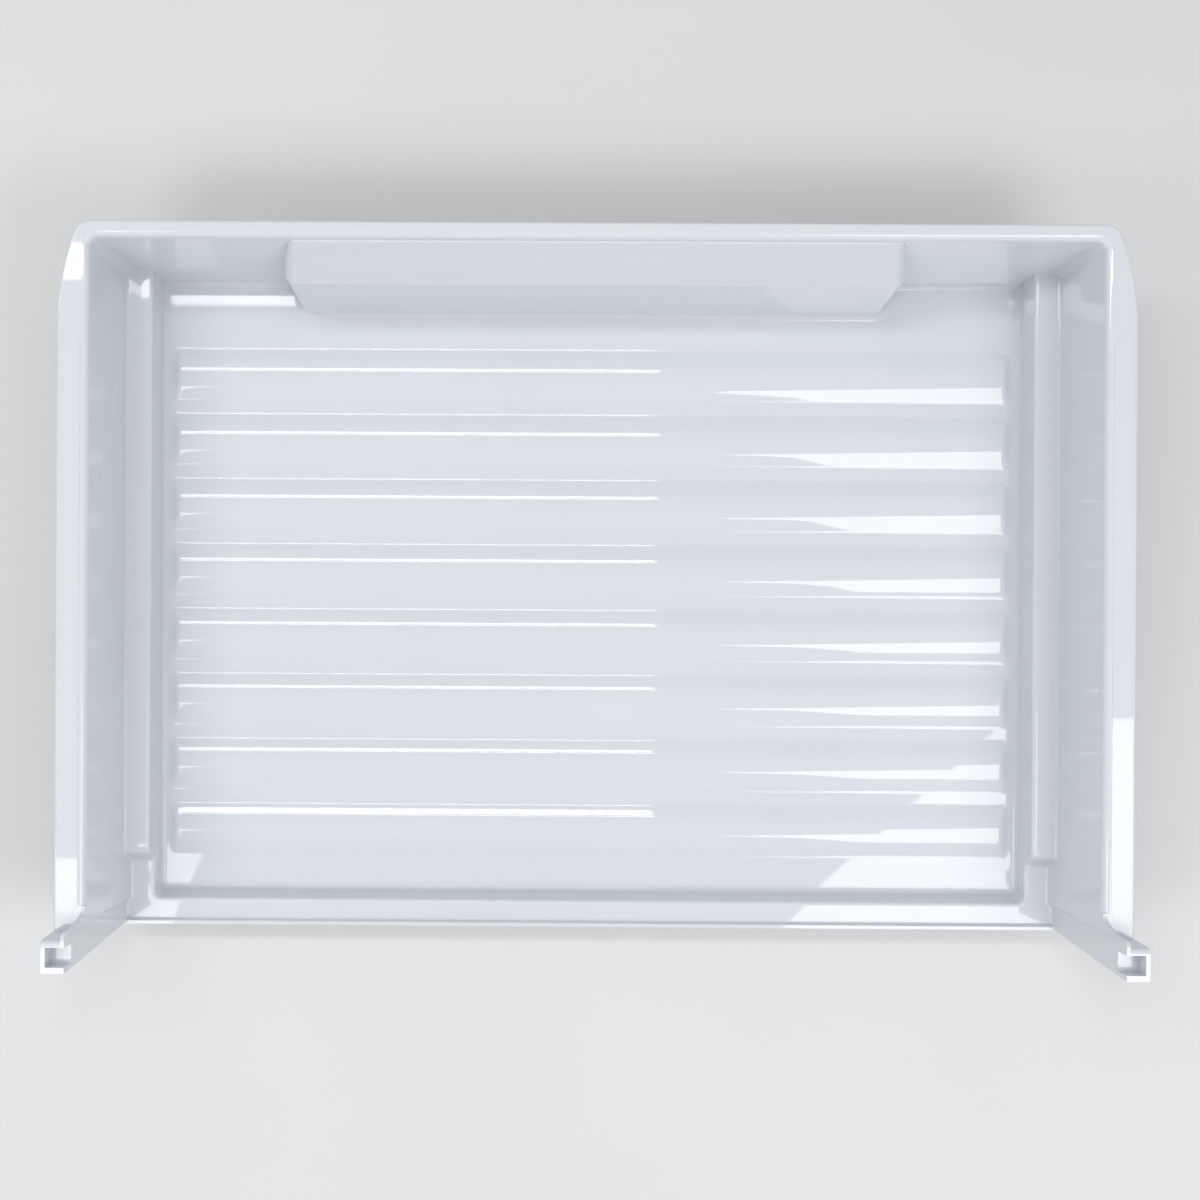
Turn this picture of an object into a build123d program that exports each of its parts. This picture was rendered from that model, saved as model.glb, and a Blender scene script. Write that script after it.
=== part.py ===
"""Moulded pan of a full-width fridge drawer, in one piece.

Millimetres, +Z up. The origin is at the middle of the underside. +X runs across the drawer and +Y to its
back; the front, at -Y, is open above a low ledge and carries two sockets for a front panel.
"""
import os
from math import atan2, degrees, radians, tan

from build123d import *

# Overall sizes
width = 701.4                  # across the rim flange
depth = 483.6                  # from the back of the rim to the front of the sockets
rim_height = 120.0             # top of the rim flange
horn_height = 152.0            # top of the front sockets
wall = 2.4                     # wall of the moulding

# Rim flange
side_flange = 20.4             # from the inner face of a side wall to the flange's outer edge
back_flange = 10.5
rim_corner_x = 20.5            # the rim's back corners, across the drawer
rim_corner_y = 64.6            # and along it
rim_corner_radius = 10.3       # tighter of the two arcs of such a corner
skirt_depth = 9.0              # down-turned edge of the flange
rim_edge_radius = 1.8          # rounding along the flange's outer edge
rim_inner_radius = 5.0         # rounding along the mouth of the drawer

# Raised wear pads on the side flanges
pad_rise = 0.4
pad_inset = 4.9                # from the mouth of the drawer
pad_outer_inset = 2.7          # from the flange's outer edge
pad_back_gap = 71.8            # from the back of the rim
pad_front_gap = 10.0           # from the sockets
pad_radius = 9.0

# Side and back walls
wall_draft = 5.0               # degrees
back_corner_radius = 6.0
foot_radius = 4.0              # where the floor turns up
wall_foot_radius = 2.4         # where the side walls meet the ledges

# Runner ledges, along both sides
ledge_height = 39.0            # upper face of the raised ledge
ledge_width = 17.5
ledge_stop = 61.4              # from the front to where the raised ledge ends
step_run = 6.4                 # length of the slope down to the front ledge
step_radius = 3.0
ledge_edge_radius = 2.5
riser_draft = 2.2              # degrees, from the floor up to the ledges

# Front ledge and lip
front_ledge_height = 22.0
front_ledge_depth = 14.3
front_riser_draft = 12.5       # degrees
lip_height = 5.0
lip_thickness = 2.2
front_corner_radius = 5.0
front_lean = 4.6               # degrees, the front edges of the side walls lean forward

# Front arms and sockets
arm_step = 5.1                 # the arm's inner face at the top, outside the mouth of the drawer
arm_draft = 4.6                # degrees
arm_length = 25.0              # from the front back to where the arm is in full
joggle_run = 8.2
horn_width = 14.8
horn_length = 21.2
horn_back_bar = 4.6
horn_front_bar = 3.9
horn_outer_bar = 2.7
horn_pocket_depth = 14.0
horn_edge_radius = 4.0
rise_run = 7.7                 # the wall's top climbs to the socket over this length
rise_gap = 3.7                 # from the top of that climb to the socket's back
rise_radius = 5.0

# Bulge in the back wall
bulge_half_top = 202.3
bulge_half_crease = 208.5
bulge_half_foot = 206.2
bulge_crease_height = 75.0
bulge_drop = 6.0               # from the rim down to the bulge's top
bulge_top_inset = 2.0          # in front of the mouth of the drawer
bulge_crease_inset = 23.1
bulge_foot_inset = 32.4
bulge_edge_radius = 7.0
bulge_foot_radius = 5.0

# Cross ribs in the floor
rib_count = 8
rib_pitch = 46.0
rib_centre = -5.4              # middle of the rib field, from the drawer's middle
rib_height = 4.7
rib_base_width = 37.0
rib_top_width = 12.0
rib_end_gap = 7.1              # from the floor's side edge to a rib's foot
rib_end_run = 5.2              # length of the slope at a rib's end
rib_corner_radius = 8.0        # rounding of a rib's ends
rib_edge_radius = 26.0         # rounding along a rib's crown
rib_foot_radius = 7.0

# Places that follow from the sizes above
beyond = 40.0                  # how far cutting bodies reach past the drawer
front_y = -depth / 2
back_y = depth / 2
mouth_x = width / 2 - side_flange
mouth_y = back_y - back_flange
wall_slope = tan(radians(wall_draft))
lean_slope = tan(radians(front_lean))
horn_back_y = front_y + horn_length
step_top_y = front_y + ledge_stop
step_foot_y = step_top_y - step_run


def side_x(z):
    """Inner face of a side wall at a height."""
    return mouth_x - (rim_height - z) * wall_slope


def rear_y(z):
    """Inner face of the back wall at a height."""
    return mouth_y - (rim_height - z) * wall_slope


def riser_x(z):
    """Face between the floor and a runner ledge, at a height."""
    return side_x(ledge_height) - ledge_width - (ledge_height - z) * tan(radians(riser_draft))


def arm_x(z):
    """Inner face of a front arm at a height."""
    return mouth_x + arm_step - (horn_height - z) * tan(radians(arm_draft))


def lean_y(z):
    """Front edge of the side walls at a height."""
    return front_y + (horn_height - z) * lean_slope


lip_top = front_ledge_height + lip_height
lip_top_y = lean_y(lip_top) + lip_thickness
lip_foot_y = lean_y(front_ledge_height) + lip_thickness + lip_height * lean_slope
front_ledge_back_y = lip_foot_y + front_ledge_depth


def front_riser_y(z):
    """Face between the floor and the front ledge, at a height."""
    return front_ledge_back_y + (front_ledge_height - z) * tan(radians(front_riser_draft))


def rectangle(half_x, y_min, y_max):
    """Corners of a rectangle that is symmetric across the drawer."""
    return [(-half_x, y_min), (half_x, y_min), (half_x, y_max), (-half_x, y_max)]


def faceted(sections):
    """Flat-sided body through sections of like outline, each a height with its corners."""
    rings = [[Vector(x, y, z) for x, y in corners] for z, corners in sections]
    faces = [Face(Wire.make_polygon(rings[0])), Face(Wire.make_polygon(rings[-1]))]
    for low, high in zip(rings, rings[1:]):
        for index in range(len(low)):
            after = (index + 1) % len(low)
            faces.append(Face(Wire.make_polygon([low[index], low[after], high[after], high[index]])))
    return Solid(Shell(faces))


def across(outline):
    """Body of a side outline, drawn in y and z, right across the drawer."""
    return extrude(Plane.YZ * outline, width / 2 + beyond, both=True)


def upright(shape, steepness=0.7):
    """Edges that climb from bottom to top."""
    return shape.edges().filter_by(lambda edge: abs((edge % 0.5).Z) > steepness)


def at_height(shape, height):
    """Edges that lie at a height."""
    return shape.edges().filter_by_position(Axis.Z, height - 0.01, height + 0.01)


def both_sides(body):
    """A right-hand body and its mirror image."""
    return [body, mirror(body, Plane.YZ)]


def floor_body(grow):
    """Lower tray between the runner ledges: its inside, or its outside for a wall of that growth."""
    sections = []
    for z in (wall - grow, ledge_height + 2 * foot_radius):
        sections.append((z, rectangle(riser_x(z) + grow, front_riser_y(z) - grow, rear_y(z) + grow)))
    body = faceted(sections)
    body = fillet(upright(body).group_by(Axis.Y)[0], front_corner_radius + grow)
    return fillet(body.edges().group_by(Axis.Z)[0], foot_radius + grow)


def ledge_outline(grow):
    """Side outline of the space above the ledges: inside the drawer, or the walls around it."""
    shift = grow * tan(atan2(ledge_height - front_ledge_height, step_run) / 2)
    step = [
        (back_y + 2 * beyond, ledge_height - grow),
        (step_top_y + shift, ledge_height - grow),
        (step_foot_y + shift, front_ledge_height - grow),
    ]
    if grow:
        front = [
            (lean_y(front_ledge_height - grow), front_ledge_height - grow),
            (front_y, horn_height),
            (horn_back_y + rise_gap, horn_height),
            (horn_back_y + rise_gap + rise_run, rim_height),
            (back_y + 2 * beyond, rim_height),
        ]
        rounded = {1: step_radius, 2: step_radius + grow, 5: rise_radius, 6: rise_radius}
    else:
        front = [
            (lip_foot_y, front_ledge_height),
            (lip_top_y, lip_top),
            (front_y - 2 * beyond, lip_top),
            (front_y - 2 * beyond, horn_height + 2 * beyond),
            (back_y + 2 * beyond, horn_height + 2 * beyond),
        ]
        rounded = {1: step_radius + wall, 2: step_radius, 3: lip_thickness / 2}
    points = step + front
    face = make_face(Polyline(*points, close=True))
    for index, radius in rounded.items():
        corner = face.vertices().sort_by_distance(Vector(*points[index], 0))[0]
        face = fillet(corner, radius)
    return face


def arm_body(grow):
    """Wider space between the two front arms, with the joggle that leads into it."""
    full_y = front_y + arm_length
    sections = []
    for z in (0, horn_height + beyond):
        outer = arm_x(z) + grow
        right = [(outer, front_y - beyond), (outer, full_y), (outer - joggle_run, full_y + joggle_run)]
        left = [(-x, y) for x, y in reversed(right)]
        sections.append((z, right + left))
    return faceted(sections)


def upper_space(grow):
    """Everything above the ledges, with sharp edges: inside the drawer, or with its walls."""
    sections = []
    for z in (0, horn_height + beyond):
        sections.append((z, rectangle(side_x(z) + grow, front_y - beyond, rear_y(z) + grow)))
    return (faceted(sections) + arm_body(grow)) & across(ledge_outline(grow))


def back_corners(space):
    """Upright edges where the side walls meet the back wall."""
    return upright(space).group_by(Axis.Y)[-1]


def wall_feet(space):
    """Lower edges along the side walls, behind the front lip."""
    undersides = space.faces().filter_by(lambda face: face.normal_at().Z < -0.3)
    near_wall = riser_x(ledge_height) + ledge_width * 3 / 4

    def at_wall(edge):
        middle = edge @ 0.5
        return abs(middle.X) > near_wall and middle.Y > lip_top_y

    return undersides.edges().filter_by(at_wall)


def ledge_brink(space):
    """Edges of the ledges over the floor."""

    def on_brink(edge):
        middle = edge @ 0.5
        in_ledge = front_ledge_height - 0.1 < middle.Z < ledge_height + 0.1
        over_floor = abs(middle.X) < riser_x(ledge_height) + 0.1 and middle.Y > front_ledge_back_y - 0.1
        return in_ledge and over_floor and edge.is_interior

    return space.edges().filter_by(on_brink)


def inside():
    """Space inside the drawer, without the bulge."""
    space = upper_space(0)
    corner_strips = space - fillet(back_corners(space), back_corner_radius)
    space = space + floor_body(0)
    space = fillet(ledge_brink(space), ledge_edge_radius)
    return fillet(wall_feet(space), wall_foot_radius) - corner_strips


def outside():
    """Drawer as a full body up to its walls' outer faces, without the rim."""
    space = upper_space(wall)
    space = fillet(back_corners(space), back_corner_radius + wall)
    return fillet(wall_feet(space), wall_foot_radius + wall) + floor_body(wall)


def bulge(shrink):
    """Bulge of the back wall into the drawer: its inner face, or the recess behind it."""
    levels = [
        (wall - foot_radius, bulge_half_foot, bulge_foot_inset),
        (bulge_crease_height, bulge_half_crease, bulge_crease_inset),
        (rim_height - bulge_drop - shrink, bulge_half_top, bulge_top_inset),
    ]
    sections = []
    for z, half, inset in levels:
        sections.append((z, rectangle(half - shrink, mouth_y - inset + shrink, back_y + beyond)))
    body = faceted(sections)
    front_corners = upright(body).filter_by(lambda edge: (edge @ 0.5).Y < mouth_y)
    return fillet(front_corners, bulge_edge_radius - shrink)


def bulge_with_foot():
    """Bulge on a plate that lies in the floor, with the rounding where the two meet."""
    plate = Pos(0, 0, wall - foot_radius) * Rectangle(2 * width, 2 * depth)
    body = bulge(0) + extrude(plate, foot_radius)
    joint = at_height(body, wall).filter_by(lambda edge: edge.is_interior)
    return fillet(joint, bulge_foot_radius)


def rib(sink):
    """One cross rib standing on the floor, or the hollow below it, with a rounded crown."""
    side_run = (rib_base_width - rib_top_width) / 2
    half_x = riser_x(wall) - rib_end_gap - sink * tan(atan2(rib_height, rib_end_run) / 2)
    half_y = rib_base_width / 2 - sink * tan(atan2(rib_height, side_run) / 2)
    low = wall - sink
    body = faceted([
        (low, rectangle(half_x, -half_y, half_y)),
        (low + rib_height, rectangle(half_x - rib_end_run, side_run - half_y, half_y - side_run)),
    ])
    crown = body.edges().filter_by(Axis.X).group_by(Axis.Z)[-1]
    return fillet(crown, rib_edge_radius - sink)


def rib_with_foot():
    """A rib on a strip of floor, with its ends and its foot rounded."""
    body = rib(0)
    ends = body.faces().filter_by(lambda face: abs(face.normal_at().X) > 0.3)
    body = fillet(ends.edges().filter_by(lambda edge: (edge @ 0.5).Z > wall + 0.01), rib_corner_radius)
    strip = Rectangle(2 * riser_x(wall) - rib_end_gap, rib_pitch)
    body = body + extrude(Pos(0, 0, wall / 2) * strip, wall / 2)
    joint = at_height(body, wall).filter_by(lambda edge: edge.is_interior)
    return fillet(joint, rib_foot_radius)


def rib_places():
    """Middle of each rib."""
    first = rib_centre - rib_pitch * (rib_count - 1) / 2
    return [first + rib_pitch * index for index in range(rib_count)]


def flange_outline(inset):
    """Outline of the rim, drawn in by an inset; two arcs that touch make each back corner."""
    half = width / 2 - inset
    back = back_y - inset
    front = horn_back_y - horn_back_bar / 2 - inset
    corner_y = back_y - rim_corner_y
    rise = rim_corner_y - rim_corner_radius
    wide_radius = (rim_corner_x**2 + rise**2 - rim_corner_radius**2) / (2 * (rim_corner_x - rim_corner_radius))
    turn = degrees(atan2(rise, wide_radius - rim_corner_x))
    tight_centre = (width / 2 - rim_corner_x, back_y - rim_corner_radius)
    right = [
        Line((half, front), (half, corner_y)),
        CenterArc((width / 2 - wide_radius, corner_y), wide_radius - inset, 0, turn),
        CenterArc(tight_centre, rim_corner_radius - inset, turn, 90 - turn),
        Line((tight_centre[0], back), (0, back)),
        Line((0, front), (half, front)),
    ]
    return make_face(right + [mirror(edge, Plane.YZ) for edge in right])


def flange():
    """Rim plate with its down-turned edge, still without the mouth of the drawer."""
    low = rim_height - skirt_depth
    skin = extrude(Pos(0, 0, low) * flange_outline(0), skirt_depth)
    hollow = extrude(Pos(0, 0, low) * flange_outline(wall), skirt_depth - wall)
    top = at_height(skin, rim_height).filter_by(lambda edge: (edge @ 0.5).Y > horn_back_y)
    return fillet(top, rim_edge_radius) - hollow


def mouth_flare():
    """The drawer's mouth opening out onto the rim with a rounding, behind the climbs to the sockets."""
    front = horn_back_y + rise_gap + rise_run + rise_radius
    sections = []
    for z in (rim_height - 2 * rim_inner_radius, rim_height):
        sections.append((z, rectangle(side_x(z), front, rear_y(z))))
    throat = faceted(sections)
    throat = fillet(back_corners(throat), back_corner_radius)
    over_rim = upright_box((-width, width), (front, back_y + beyond), (rim_height, rim_height + beyond))
    body = throat + over_rim
    joint = at_height(body, rim_height).filter_by(lambda edge: edge.is_interior)
    return fillet(joint, rim_inner_radius)


def upright_box(x_range, y_range, z_range):
    """Block between two limits along each axis."""
    size = [high - low for low, high in (x_range, y_range, z_range)]
    middle = [(high + low) / 2 for low, high in (x_range, y_range, z_range)]
    return Pos(*middle) * Box(*size)


def horn_block():
    """Outside of the right-hand socket."""
    outer = arm_x(horn_height) + horn_width
    sections = []
    for z in (rim_height - skirt_depth, horn_height):
        inner = arm_x(z)
        front = lean_y(z)
        sections.append((z, [(inner, front), (outer, front), (outer, horn_back_y), (inner, horn_back_y)]))
    block = faceted(sections)
    back_edge = block.edges().filter_by(Axis.X).group_by(Axis.Z)[-1].sort_by(Axis.Y)[-1]
    return fillet(back_edge, horn_edge_radius)


def horn_hollows():
    """Pocket of the right-hand socket, open to the top and the inside, and the space below its floor."""
    inner = arm_x(horn_height)
    low = rim_height - skirt_depth
    outer = inner + horn_width - horn_outer_bar
    y_range = (front_y + horn_front_bar, horn_back_y - horn_back_bar)
    pocket_floor = horn_height - horn_pocket_depth
    pocket = upright_box((inner - wall, outer), y_range, (pocket_floor, horn_height + wall))
    below = upright_box((inner + wall, outer), y_range, (low - wall, pocket_floor - wall))
    return [pocket, below]


def pad():
    """Raised wear pad on the right-hand flange."""
    x_range = (mouth_x + pad_inset, width / 2 - pad_outer_inset)
    y_range = (horn_back_y + pad_front_gap, back_y - pad_back_gap)
    plate = upright_box(x_range, y_range, (rim_height - wall / 2, rim_height + pad_rise))
    return fillet(plate.edges().filter_by(Axis.Z).group_by(Axis.X)[0], pad_radius)


def drawer_pan():
    """The whole moulding."""
    shell = outside() - bulge(wall)
    shell = shell + [flange()] + both_sides(horn_block())
    pan = shell - (inside() + mouth_flare() - bulge_with_foot())
    pan = pan + both_sides(pad())
    for hollow in horn_hollows():
        pan = pan - both_sides(hollow)
    pan = pan + [Pos(0, y, 0) * rib_with_foot() for y in rib_places()]
    return pan - [Pos(0, y, 0) * rib(wall) for y in rib_places()]


if __name__ == "__main__":
    os.makedirs("parts", exist_ok=True)
    export_step(drawer_pan(), "parts/drawer_pan.step")
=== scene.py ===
"""Looks of the moulded fridge drawer: glossy plastic, a pale studio floor and soft boxes of light.

Metres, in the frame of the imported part: +X across the drawer, +Y to its back, +Z up.
"""
from functools import partial
from math import radians

import bpy
from mathutils import Euler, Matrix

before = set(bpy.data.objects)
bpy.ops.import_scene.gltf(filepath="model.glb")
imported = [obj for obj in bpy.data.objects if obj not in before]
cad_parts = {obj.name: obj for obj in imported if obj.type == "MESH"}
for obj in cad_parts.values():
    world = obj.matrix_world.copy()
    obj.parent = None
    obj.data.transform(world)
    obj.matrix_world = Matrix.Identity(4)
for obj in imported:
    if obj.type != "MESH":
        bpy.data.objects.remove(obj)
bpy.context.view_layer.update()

# Camera, straight above the drawer
CAMERA_PLACE = (-0.0375, -0.0029, 1.31)
CAMERA_TURN = (-0.067, 0.407, 0.35)       # degrees
PICTURE_SIDE = 1200.0                     # pixels
FOCAL_PIXELS = 1835.1
CENTRE_PIXEL = (524.0, 601.3)
SENSOR = 36.0                             # millimetres

# Plastic; each noise has a scale and a detail
PLASTIC_COLOUR = (0.695, 0.725, 0.76)
PLASTIC_SHADE = (0.68, 0.71, 0.747)
PLASTIC_ROUGHNESS = (0.02, 0.035)
PLASTIC_IOR = 1.5
COLOUR_NOISE = (6.0, 2.0)
ROUGHNESS_NOISE = (22.0, 3.0)
WAVE_NOISE = (14.0, 1.0)
WAVE_STRENGTH = 0.01
WAVE_HEIGHT = 0.001
RAMP_STOPS = (0.3, 0.7)

# Shading of the solid: edges that turn by more than the corner angle stay crisp
CORNER_ANGLE = radians(38)
WELD_DISTANCE = 0.00001
FACE_WEIGHT = 80

# Ribs of the floor: in the moulding their sides are a little flatter and rounder than in the solid.
# The sine of a side's angle is the least of three lines over the distance from the rib's middle.
RIB_COUNT = 8
RIB_PITCH = 0.046
RIB_MIDDLE = -0.0054                      # of the row, along Y
RIB_FIRST = RIB_MIDDLE - (RIB_COUNT - 1) / 2 * RIB_PITCH
RIB_CROWN_START = 0.0016
RIB_CROWN_RADIUS = 0.032
RIB_SIDE_START = 0.0100
RIB_SIDE_SINE = 0.262                     # where the side starts
RIB_SIDE_RISE = 8.0                       # of the sine, per metre
RIB_FOOT_END = 0.01956
RIB_FOOT_RADIUS = 0.0097

# Where the ribs are: the easing fades out between two distances from the middle of the drawer
RIB_FADE = (0.2885, 0.297)
RIB_CEILING = 0.008
RIB_LEAST_UP = 0.5                        # keeps the easing off the underside

# Studio
FLOOR_COLOUR = (0.745, 0.745, 0.745)
FLOOR_SHADE = (0.725, 0.725, 0.725)
FLOOR_NOISE = (3.0, 2.0)
FLOOR_ROUGHNESS = 0.8
FLOOR_SPECULAR = 0.2
FLOOR_SIDE = 12.0
FLOOR_GAP = 0.0004                        # keeps the floor just clear of the drawer's underside
WORLD_COLOUR = (0.97, 0.98, 1.0)
WORLD_STRENGTH = 0.54

# Soft boxes: flat panels overhead, by the light they give off and their corners in plan
PANEL_COLOUR = (1.0, 1.0, 1.0)
PANEL_HEIGHT = 1.64
PANELS = {
    "front_right_box": (5.8, [(0.252, -0.61), (0.40, -0.73), (0.53, -1.10), (1.20, -1.10),
                              (1.20, -0.174), (0.735, -0.174)]),
    "back_left_box": (10.0, [(-1.30, 0.466), (0.159, 0.466), (0.159, 0.520), (-1.30, 0.520)]),
    "back_left_far_box": (10.0, [(-1.30, 0.570), (0.159, 0.570), (0.159, 0.70), (-1.30, 0.70)]),
    "front_left_box": (5.8, [(-1.40, -1.10), (-0.95, -1.10), (-0.64, -0.64), (-0.60, -0.48),
                             (-0.562, -0.39), (-1.40, -0.39)]),
}

# Upright panel in front of the drawer
FILL_STRENGTH = 1.15
FILL_CORNERS = [(-1.1, -2.2, 0.45), (1.1, -2.2, 0.45), (1.1, -2.2, 1.35), (-1.1, -2.2, 1.35)]


def new_material(name):
    """Node material with a principled shader."""
    material = bpy.data.materials.new(name)
    material.use_nodes = True
    nodes = material.node_tree.nodes
    return material, nodes, material.node_tree.links, nodes["Principled BSDF"]


def add_noise(nodes, links, scale, detail):
    """Noise over the object's own coordinates."""
    place = nodes.new("ShaderNodeTexCoord")
    noise = nodes.new("ShaderNodeTexNoise")
    noise.inputs["Scale"].default_value = scale
    noise.inputs["Detail"].default_value = detail
    links.new(place.outputs["Object"], noise.inputs["Vector"])
    return noise.outputs["Fac"]


def add_ramp(nodes, links, value, low, high):
    """Ramp between two colours, driven by a value."""
    ramp = nodes.new("ShaderNodeValToRGB")
    for element, stop, colour in zip(ramp.color_ramp.elements, RAMP_STOPS, (low, high)):
        element.position = stop
        element.color = (*colour, 1)
    links.new(value, ramp.inputs["Fac"])
    return ramp.outputs["Color"]


def add_range(nodes, links, value, low, high):
    """Map of a value from one range to another."""
    change = nodes.new("ShaderNodeMapRange")
    change.inputs["From Min"].default_value, change.inputs["From Max"].default_value = low
    change.inputs["To Min"].default_value, change.inputs["To Max"].default_value = high
    links.new(value, change.inputs["Value"])
    return change


def add_math(nodes, links, operation, *values):
    """One step of arithmetic on sockets or numbers."""
    step = nodes.new("ShaderNodeMath")
    step.operation = operation
    for socket, value in zip(step.inputs, values):
        if isinstance(value, float):
            socket.default_value = value
        else:
            links.new(value, socket)
    return step.outputs["Value"]


def rib_direction(nodes, links, along):
    """Direction of the moulded ribs' surface, from the place along Y."""
    step = partial(add_math, nodes, links)
    across = step("WRAP", step("SUBTRACT", along, RIB_FIRST), RIB_PITCH / 2, -RIB_PITCH / 2)
    out = step("ABSOLUTE", across)
    crown = step("DIVIDE", step("SUBTRACT", out, RIB_CROWN_START), RIB_CROWN_RADIUS)
    rise = step("MULTIPLY", step("SUBTRACT", out, RIB_SIDE_START), RIB_SIDE_RISE)
    side = step("ADD", rise, RIB_SIDE_SINE)
    foot = step("DIVIDE", step("SUBTRACT", RIB_FOOT_END, out), RIB_FOOT_RADIUS)
    least = step("MINIMUM", step("MINIMUM", crown, side), foot)
    sine = step("MAXIMUM", least, 0.0)
    cosine = step("SQRT", step("SUBTRACT", 1.0, step("MULTIPLY", sine, sine)))
    direction = nodes.new("ShaderNodeCombineXYZ")
    links.new(step("MULTIPLY", sine, step("SIGN", across)), direction.inputs["Y"])
    links.new(cosine, direction.inputs["Z"])
    return direction.outputs["Vector"]


def rib_area(nodes, links, place, facing):
    """One on the upper side of the ribs, fading to nothing at their ends."""
    step = partial(add_math, nodes, links)
    fade = add_range(nodes, links, step("ABSOLUTE", place["X"]), RIB_FADE, (1.0, 0.0))
    fade.interpolation_type = "SMOOTHSTEP"
    off_middle = step("ABSOLUTE", step("SUBTRACT", place["Y"], RIB_MIDDLE))
    inside = step("LESS_THAN", off_middle, RIB_COUNT / 2 * RIB_PITCH)
    low = step("LESS_THAN", place["Z"], RIB_CEILING)
    up = step("GREATER_THAN", facing["Z"], RIB_LEAST_UP)
    return step("MULTIPLY", step("MULTIPLY", low, up), step("MULTIPLY", inside, fade.outputs["Result"]))


def soft_ribs(nodes, links):
    """Surface direction that eases the ribs from the solid's profile to the moulding's."""
    surface = nodes.new("ShaderNodeNewGeometry")
    place = nodes.new("ShaderNodeSeparateXYZ")
    facing = nodes.new("ShaderNodeSeparateXYZ")
    links.new(surface.outputs["Position"], place.inputs["Vector"])
    links.new(surface.outputs["Normal"], facing.inputs["Vector"])
    blend = nodes.new("ShaderNodeMix")
    blend.data_type = "VECTOR"
    solid, moulded = [socket for socket in blend.inputs if socket.type == "VECTOR" and socket.name in "AB"]
    blended = next(socket for socket in blend.outputs if socket.type == "VECTOR")
    links.new(rib_area(nodes, links, place.outputs, facing.outputs), blend.inputs["Factor"])
    links.new(surface.outputs["Normal"], solid)
    links.new(rib_direction(nodes, links, place.outputs["Y"]), moulded)
    unit = nodes.new("ShaderNodeVectorMath")
    unit.operation = "NORMALIZE"
    links.new(blended, unit.inputs[0])
    return unit.outputs["Vector"]


def moulded_plastic():
    """Glossy pale plastic with the slight waviness of a moulding."""
    material, nodes, links, shader = new_material("moulded_plastic")
    cloud = add_noise(nodes, links, *COLOUR_NOISE)
    links.new(add_ramp(nodes, links, cloud, PLASTIC_SHADE, PLASTIC_COLOUR), shader.inputs["Base Color"])
    rough = add_range(nodes, links, add_noise(nodes, links, *ROUGHNESS_NOISE), (0.0, 1.0), PLASTIC_ROUGHNESS)
    links.new(rough.outputs["Result"], shader.inputs["Roughness"])
    wave = nodes.new("ShaderNodeBump")
    wave.inputs["Strength"].default_value = WAVE_STRENGTH
    wave.inputs["Distance"].default_value = WAVE_HEIGHT
    links.new(add_noise(nodes, links, *WAVE_NOISE), wave.inputs["Height"])
    links.new(soft_ribs(nodes, links), wave.inputs["Normal"])
    links.new(wave.outputs["Normal"], shader.inputs["Normal"])
    shader.inputs["IOR"].default_value = PLASTIC_IOR
    return material


def studio_floor():
    """Matt pale floor."""
    material, nodes, links, shader = new_material("studio_floor")
    cloud = add_noise(nodes, links, *FLOOR_NOISE)
    links.new(add_ramp(nodes, links, cloud, FLOOR_SHADE, FLOOR_COLOUR), shader.inputs["Base Color"])
    shader.inputs["Roughness"].default_value = FLOOR_ROUGHNESS
    shader.inputs["Specular IOR Level"].default_value = FLOOR_SPECULAR
    return material


def crisp_corners():
    """Marks the edges between faces that meet at a corner, so that only roundings are shaded as one."""
    group = bpy.data.node_groups.new("crisp_corners", "GeometryNodeTree")
    group.interface.new_socket("Geometry", in_out="INPUT", socket_type="NodeSocketGeometry")
    group.interface.new_socket("Geometry", in_out="OUTPUT", socket_type="NodeSocketGeometry")
    nodes, links = group.nodes, group.links
    start = nodes.new("NodeGroupInput")
    end = nodes.new("NodeGroupOutput")
    angle = nodes.new("GeometryNodeInputMeshEdgeAngle")
    over = nodes.new("FunctionNodeCompare")
    over.data_type = "FLOAT"
    over.operation = "GREATER_THAN"
    over.inputs["B"].default_value = CORNER_ANGLE
    shade = nodes.new("GeometryNodeSetShadeSmooth")
    shade.domain = "EDGE"
    shade.inputs["Shade Smooth"].default_value = False
    links.new(angle.outputs["Unsigned Angle"], over.inputs["A"])
    links.new(over.outputs["Result"], shade.inputs["Selection"])
    links.new(start.outputs["Geometry"], shade.inputs["Geometry"])
    links.new(shade.outputs["Geometry"], end.inputs["Geometry"])
    return group


def dress_drawer():
    """Plastic on the drawer, with shading that is smooth over its roundings and flat on its faces."""
    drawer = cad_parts["drawer_pan"]
    drawer.data.materials.clear()
    drawer.data.materials.append(moulded_plastic())
    weld = drawer.modifiers.new("weld", "WELD")
    weld.merge_threshold = WELD_DISTANCE
    corners = drawer.modifiers.new("crisp_corners", "NODES")
    corners.node_group = crisp_corners()
    normals = drawer.modifiers.new("even_shading", "WEIGHTED_NORMAL")
    normals.keep_sharp = True
    normals.mode = "FACE_AREA"
    normals.weight = FACE_WEIGHT


def add_sheet(name, corners, material):
    """Flat sheet of the studio, by its corners."""
    mesh = bpy.data.meshes.new(name)
    mesh.from_pydata(corners, [], [tuple(range(len(corners)))])
    mesh.materials.append(material)
    sheet = bpy.data.objects.new(name, mesh)
    bpy.context.scene.collection.objects.link(sheet)
    return sheet


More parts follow.
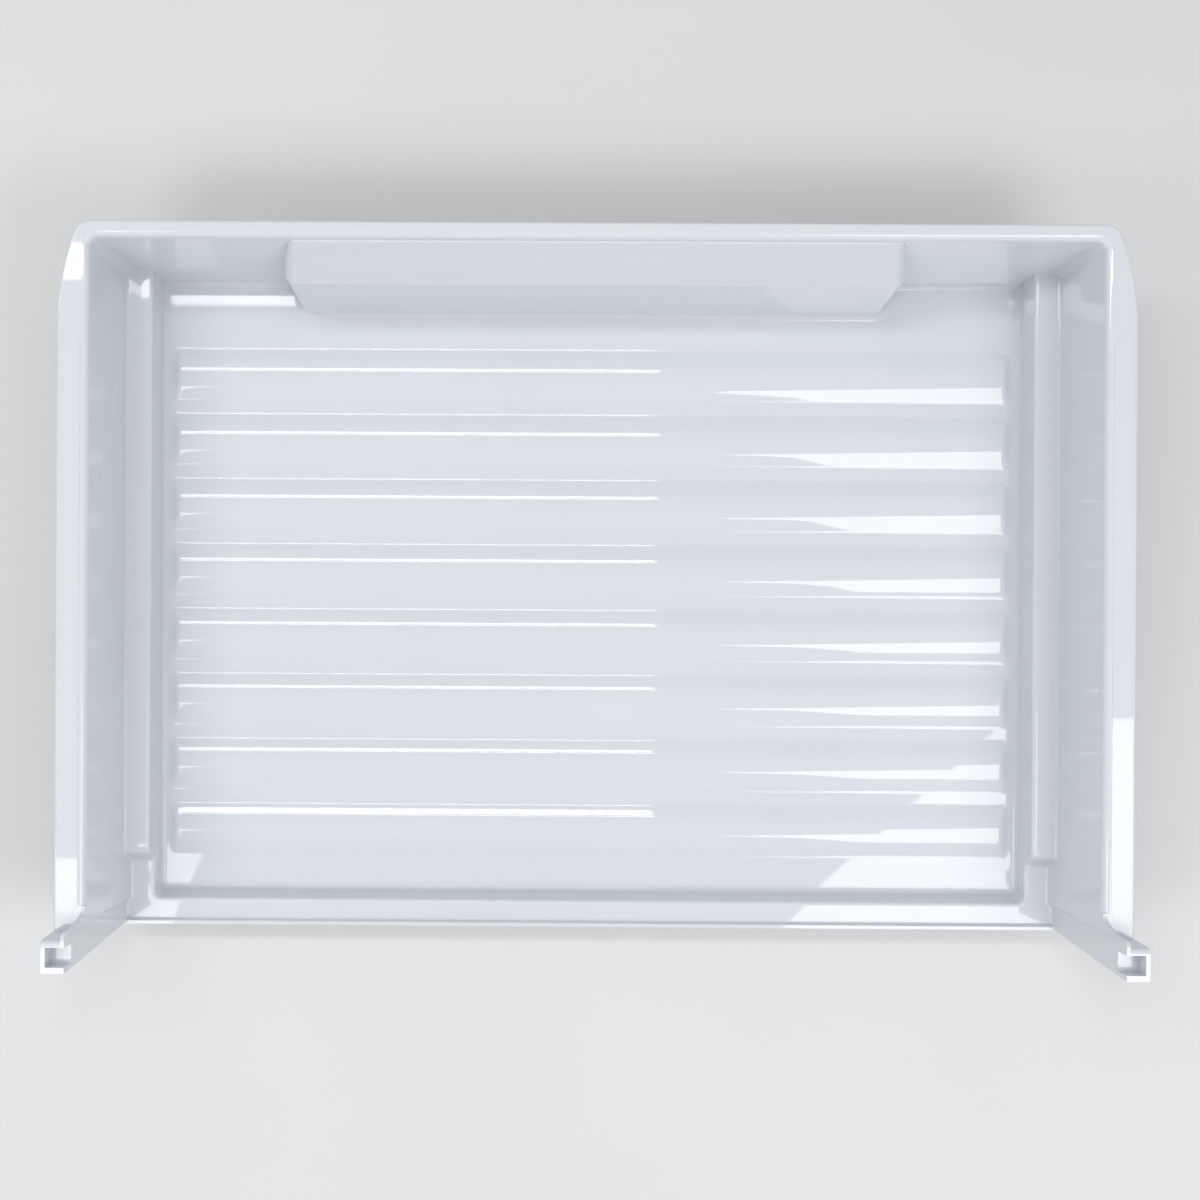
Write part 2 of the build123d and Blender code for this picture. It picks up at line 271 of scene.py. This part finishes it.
def make_floor():
    """Pale floor under the drawer."""
    half = FLOOR_SIDE / 2
    plan = [(-half, -half), (half, -half), (half, half), (-half, half)]
    floor = add_sheet("studio_floor", [(x, y, -FLOOR_GAP) for x, y in plan], studio_floor())


def light_panel(strength):
    """Evenly lit cloth of a soft box."""
    material = bpy.data.materials.new("light_panel")
    material.use_nodes = True
    nodes = material.node_tree.nodes
    nodes.clear()
    glow = nodes.new("ShaderNodeEmission")
    glow.inputs["Color"].default_value = (*PANEL_COLOUR, 1)
    glow.inputs["Strength"].default_value = strength
    out = nodes.new("ShaderNodeOutputMaterial")
    material.node_tree.links.new(glow.outputs["Emission"], out.inputs["Surface"])
    return material


def hang_panel(name, strength, corners):
    """One panel of a soft box, which the camera doesn't see."""
    panel = add_sheet(name, corners, light_panel(strength))
    panel.visible_camera = False


def make_lights():
    """Soft boxes and an even world around them."""
    for name, (strength, plan) in PANELS.items():
        hang_panel(name, strength, [(x, y, PANEL_HEIGHT) for x, y in plan])
    hang_panel("front_fill", FILL_STRENGTH, FILL_CORNERS)
    world = bpy.data.worlds.new("studio")
    bpy.context.scene.world = world
    world.use_nodes = True
    background = world.node_tree.nodes["Background"]
    background.inputs["Color"].default_value = (*WORLD_COLOUR, 1)
    background.inputs["Strength"].default_value = WORLD_STRENGTH


def make_camera():
    """Camera at the photograph's place and angle."""
    data = bpy.data.cameras.new("camera")
    data.sensor_width = SENSOR
    data.lens = FOCAL_PIXELS / PICTURE_SIDE * SENSOR
    data.shift_x = 0.5 - CENTRE_PIXEL[0] / PICTURE_SIDE
    data.shift_y = CENTRE_PIXEL[1] / PICTURE_SIDE - 0.5
    camera = bpy.data.objects.new("camera", data)
    camera.location = CAMERA_PLACE
    camera.rotation_euler = Euler([radians(turn) for turn in CAMERA_TURN], "XYZ")
    bpy.context.scene.collection.objects.link(camera)
    bpy.context.scene.camera = camera


dress_drawer()
make_floor()
make_lights()
make_camera()
bpy.context.scene.view_settings.view_transform = "Standard"
